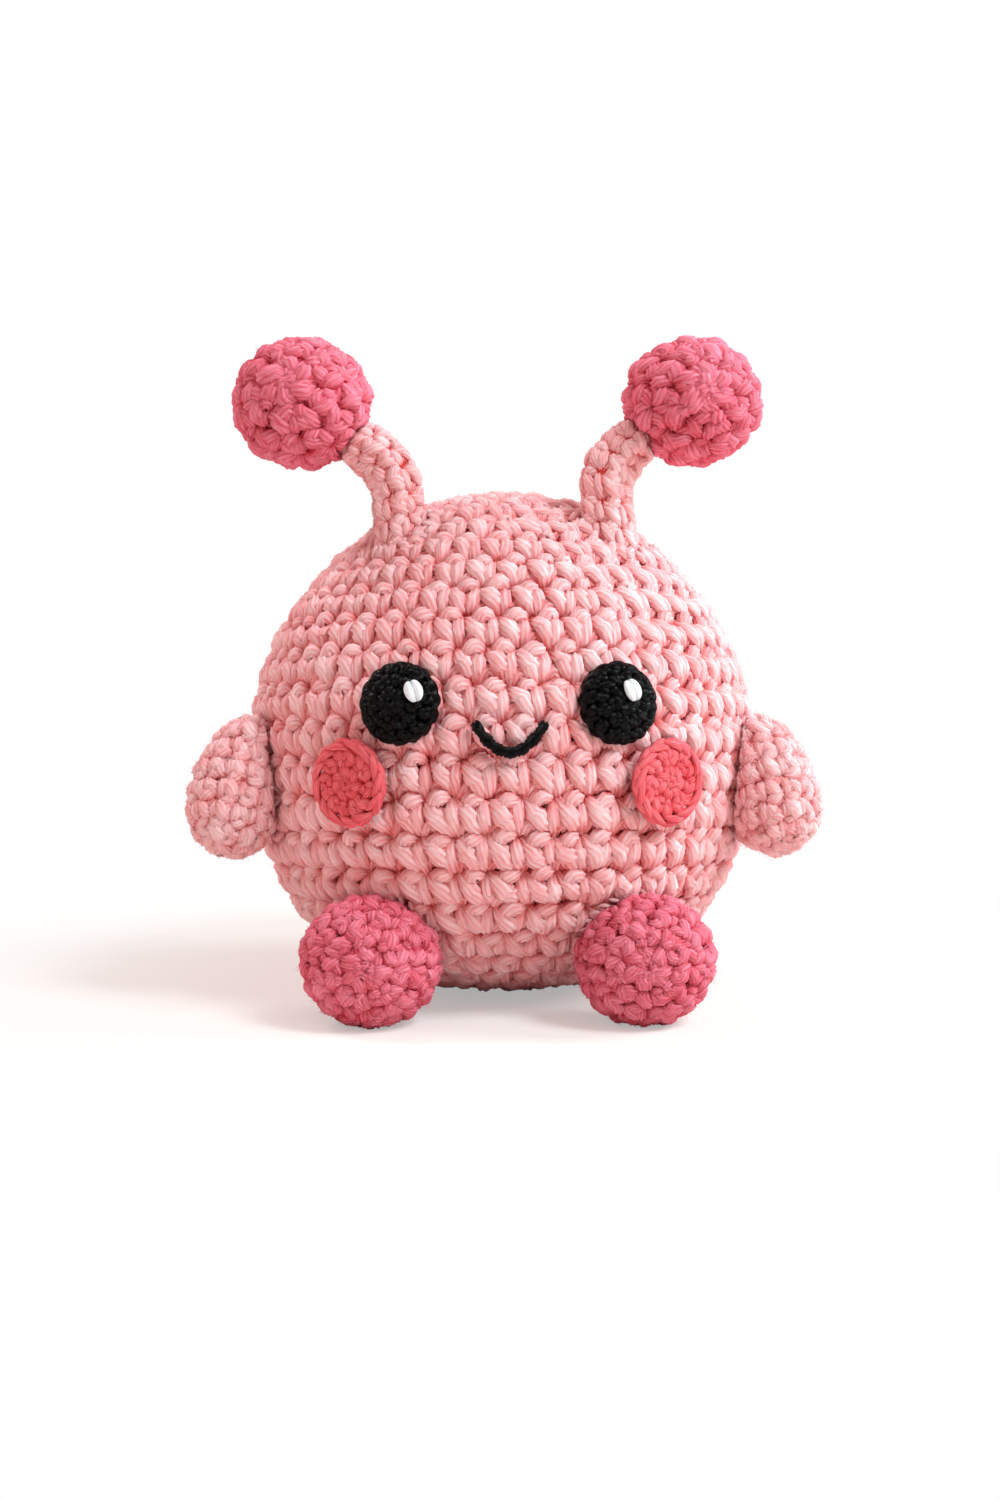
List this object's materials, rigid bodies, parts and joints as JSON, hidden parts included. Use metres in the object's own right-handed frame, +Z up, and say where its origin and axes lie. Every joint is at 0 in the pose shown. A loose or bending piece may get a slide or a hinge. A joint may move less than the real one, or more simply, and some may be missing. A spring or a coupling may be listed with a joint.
{
  "type": "crochet monster",
  "caption": "Small crocheted ball-shaped toy with two ball-tipped antennae, two short arms and two round feet, stuffed and sewn, sitting upright.",
  "frame": {"origin": "on the resting plane, on the flat of the underside, straight below the centre of the body", "axes": "+Z up, -Y the way the face looks, +X on the right of someone who looks at the face"},
  "size_m": [0.0812, 0.0687, 0.0851],
  "materials": {
    "pink_yarn": "plied cotton-acrylic yarn, matt with a faint sheen",
    "rose_yarn": "plied cotton-acrylic yarn, matt with a faint sheen",
    "coral_yarn": "plied cotton-acrylic yarn, matt with a faint sheen",
    "black_yarn": "plied cotton-acrylic yarn, matt with a faint sheen",
    "white_yarn": "two satin stitches, soft sheen",
    "fibre_fill": "loose polyester fibre"
  },
  "bodies": {
    "torso": {"body_cover": "pink_yarn", "body_filling": "fibre_fill", "mouth": "black_yarn", "left_eye": "black_yarn", "left_eye_highlight": "white_yarn", "left_cheek": "coral_yarn", "left_foot": "rose_yarn", "left_foot_filling": "fibre_fill", "left_foot_sewing": "pink_yarn", "left_arm_sewing": "pink_yarn", "left_antenna_sewing": "pink_yarn", "right_eye": "black_yarn", "right_eye_highlight": "white_yarn", "right_cheek": "coral_yarn", "right_foot": "rose_yarn", "right_foot_filling": "fibre_fill", "right_foot_sewing": "pink_yarn", "right_arm_sewing": "pink_yarn", "right_antenna_sewing": "pink_yarn"},
    "left_antenna": {"left_antenna_stalk": "pink_yarn", "left_stalk_filling": "fibre_fill"},
    "left_antenna_end": {"left_antenna_ball": "rose_yarn", "left_ball_filling": "fibre_fill"},
    "left_arm": {"left_arm": "pink_yarn", "left_arm_filling": "fibre_fill"},
    "right_antenna": {"right_antenna_stalk": "pink_yarn", "right_stalk_filling": "fibre_fill"},
    "right_antenna_end": {"right_antenna_ball": "rose_yarn", "right_ball_filling": "fibre_fill"},
    "right_arm": {"right_arm": "pink_yarn", "right_arm_filling": "fibre_fill"}
  },
  "joints": [
    {"name": "left_antenna_sway", "type": "hinge", "parent": "torso", "child": "left_antenna", "pos_m": [-0.0137, -0.00963, 0.06555], "axis": [0, -0.9945, 0.1045], "range_deg": [-20, 20], "stiffness_Nm_per_rad": 0.02},
    {"name": "left_ball_nod", "type": "hinge", "parent": "left_antenna", "child": "left_antenna_end", "pos_m": [-0.0175, -0.00909, 0.07062], "axis": [1, 0, 0], "range_deg": [-10, 10], "stiffness_Nm_per_rad": 0.01},
    {"name": "left_arm_lift", "type": "hinge", "parent": "torso", "child": "left_arm", "pos_m": [-0.0317, -0.01063, 0.03611], "axis": [0, 0.9945, -0.1045], "range_deg": [0, 75], "stiffness_Nm_per_rad": 0.005},
    {"name": "right_antenna_sway", "type": "hinge", "parent": "torso", "child": "right_antenna", "pos_m": [0.013, -0.0096, 0.06584], "axis": [0, 0.9945, -0.1045], "range_deg": [-20, 20], "stiffness_Nm_per_rad": 0.02},
    {"name": "right_ball_nod", "type": "hinge", "parent": "right_antenna", "child": "right_antenna_end", "pos_m": [0.0159, -0.00906, 0.07091], "axis": [1, 0, 0], "range_deg": [-10, 10], "stiffness_Nm_per_rad": 0.01},
    {"name": "right_arm_lift", "type": "hinge", "parent": "torso", "child": "right_arm", "pos_m": [0.0317, -0.01063, 0.03611], "axis": [0, -0.9945, 0.1045], "range_deg": [0, 75], "stiffness_Nm_per_rad": 0.005}
  ]
}
